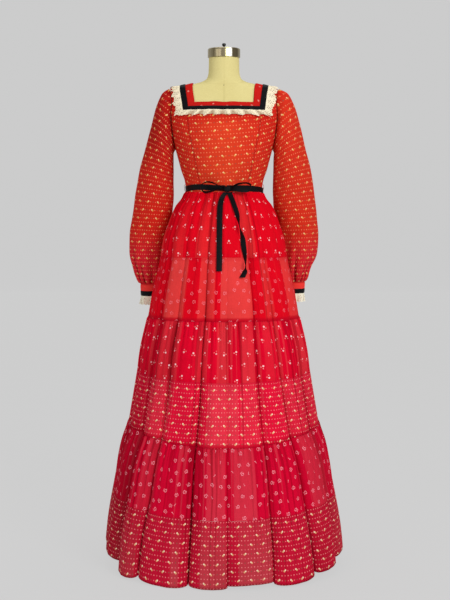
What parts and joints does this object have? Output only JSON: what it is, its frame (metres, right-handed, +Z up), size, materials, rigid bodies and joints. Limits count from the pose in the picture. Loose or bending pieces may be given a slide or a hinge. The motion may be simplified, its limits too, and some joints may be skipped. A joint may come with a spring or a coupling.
{
  "type": "prairie dress on a dress form",
  "caption": "Long red voile prairie dress with tiered skirt, bishop sleeves, square lace-trimmed neck and black ribbon sash, on a linen dress form.",
  "frame": {"origin": "centre of the stand's underside, on the floor", "axes": "+Z up; the dress faces -Y, and +X is the viewer's right"},
  "size_m": [0.7187, 0.6649, 1.5489],
  "materials": {
    "bodice_cloth": "matt printed voile",
    "skirt_cloth": "sheer printed voile",
    "ribbon": "satin",
    "lace": "embroidered eyelet edging",
    "form_linen": "plain linen over a hard shell",
    "cap_brass": "polished",
    "knob_plastic": "gloss",
    "stand_steel": "satin paint",
    "zip_metal": "enamelled"
  },
  "bodies": {
    "root": {"bodice_front": "bodice_cloth", "bodice_side_front_left": "bodice_cloth", "bodice_side_front_right": "bodice_cloth", "bodice_back_left": "bodice_cloth", "bodice_back_right": "bodice_cloth", "neck_band": "bodice_cloth", "neck_ribbon": "ribbon", "neck_lace": "lace", "sleeve_left": "bodice_cloth", "sleeve_right": "bodice_cloth", "cuff_band_left": "bodice_cloth", "cuff_band_right": "bodice_cloth", "cuff_ribbon_left": "ribbon", "cuff_ribbon_right": "ribbon", "cuff_lace_left": "lace", "cuff_lace_right": "lace", "skirt_strip_1_scatter": "skirt_cloth", "skirt_strip_2_rings": "skirt_cloth", "skirt_strip_3_scatter": "skirt_cloth", "skirt_strip_4_dots": "skirt_cloth", "skirt_strip_5_rings": "skirt_cloth", "skirt_strip_6_dots": "skirt_cloth", "waist_belt": "ribbon", "belt_carrier_left": "bodice_cloth", "belt_carrier_right": "bodice_cloth", "bow_knot": "ribbon", "bow_loop_left": "ribbon", "bow_loop_right": "ribbon", "bow_tail_left": "ribbon", "bow_tail_right": "ribbon", "zip_slider": "zip_metal", "form_torso": "form_linen", "form_neck_cap": "cap_brass", "form_knob": "knob_plastic", "stand_pole": "stand_steel", "stand_base": "stand_steel"},
    "zip_tab": {"zip_pull": "zip_metal"}
  },
  "joints": [
    {"name": "zip_pull_hinge", "type": "hinge", "parent": "root", "child": "zip_tab", "pos_m": [0, 0.09312, 1.392], "axis": [1, 0, 0], "range_deg": [0, 140]}
  ]
}
